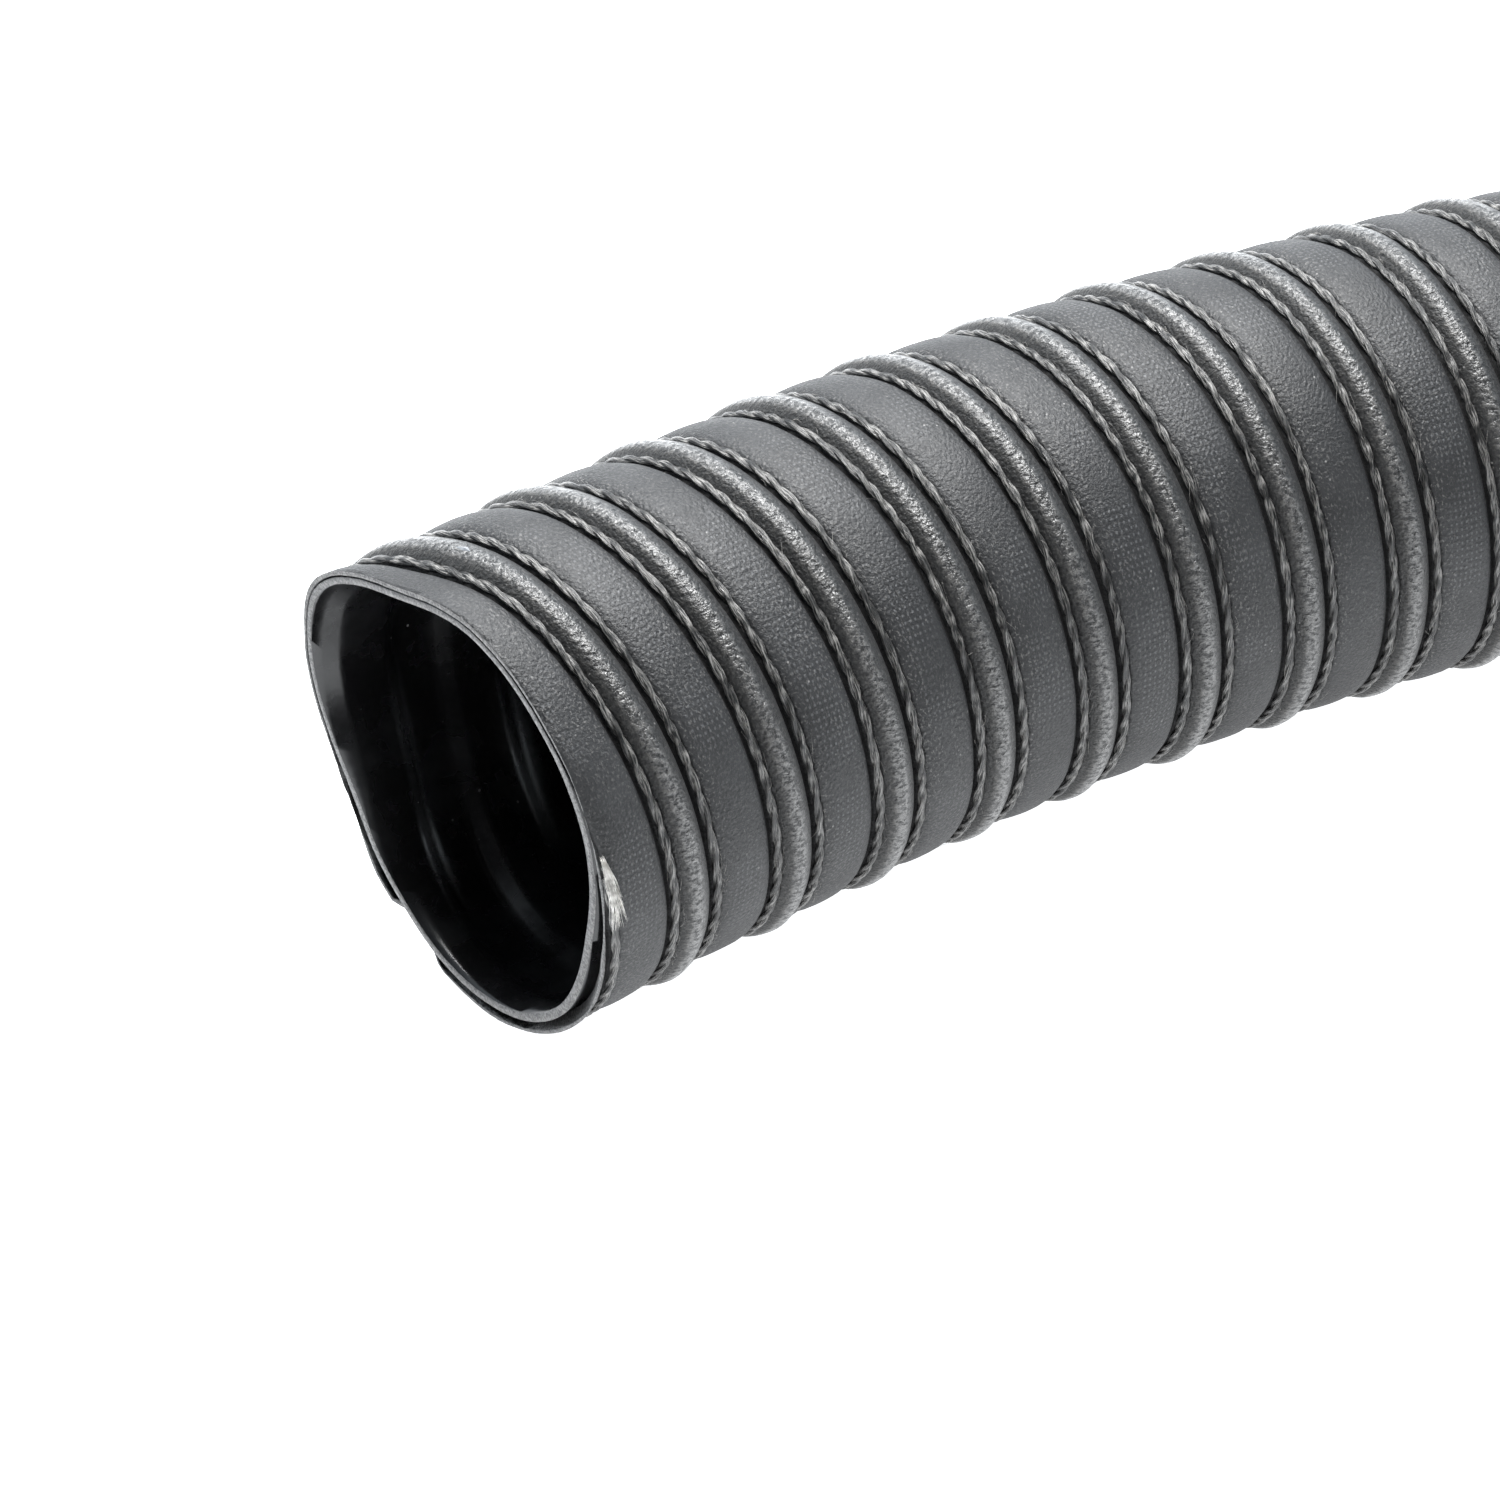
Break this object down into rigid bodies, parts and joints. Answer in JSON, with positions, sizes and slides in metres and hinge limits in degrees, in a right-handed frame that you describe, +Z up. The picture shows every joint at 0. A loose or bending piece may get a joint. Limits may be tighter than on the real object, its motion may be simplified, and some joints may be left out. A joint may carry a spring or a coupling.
{
  "type": "wire-reinforced fuel filler hose",
  "caption": "Gently bent length of two-ply coated-fabric hose, ribbed by a buried spiral wire and bound by twisted cords beside each rib.",
  "frame": {"origin": "under the middle of the hose's overall length and depth, on the floor that it lies on", "axes": "+X along the straight far half, away from the pictured near cut end; +Z up; the near half is bent towards -Y"},
  "size_m": [0.3108, 0.0838, 0.0595],
  "materials": {
    "coated_fabric": "black synthetic rubber over woven fabric, worn paler on the ribs",
    "smooth_lining": "smooth glossy black lining",
    "binding_yarn": "twisted dark grey yarn, rubber-coated, with stray fibres",
    "spring_steel": "bright spring wire, hidden in its pocket"
  },
  "bodies": {
    "root": {"inner_ply": "smooth_lining", "wire_helix": "spring_steel", "outer_ply": "coated_fabric", "near_side_cord": "binding_yarn", "far_side_cord": "binding_yarn"}
  },
  "joints": []
}
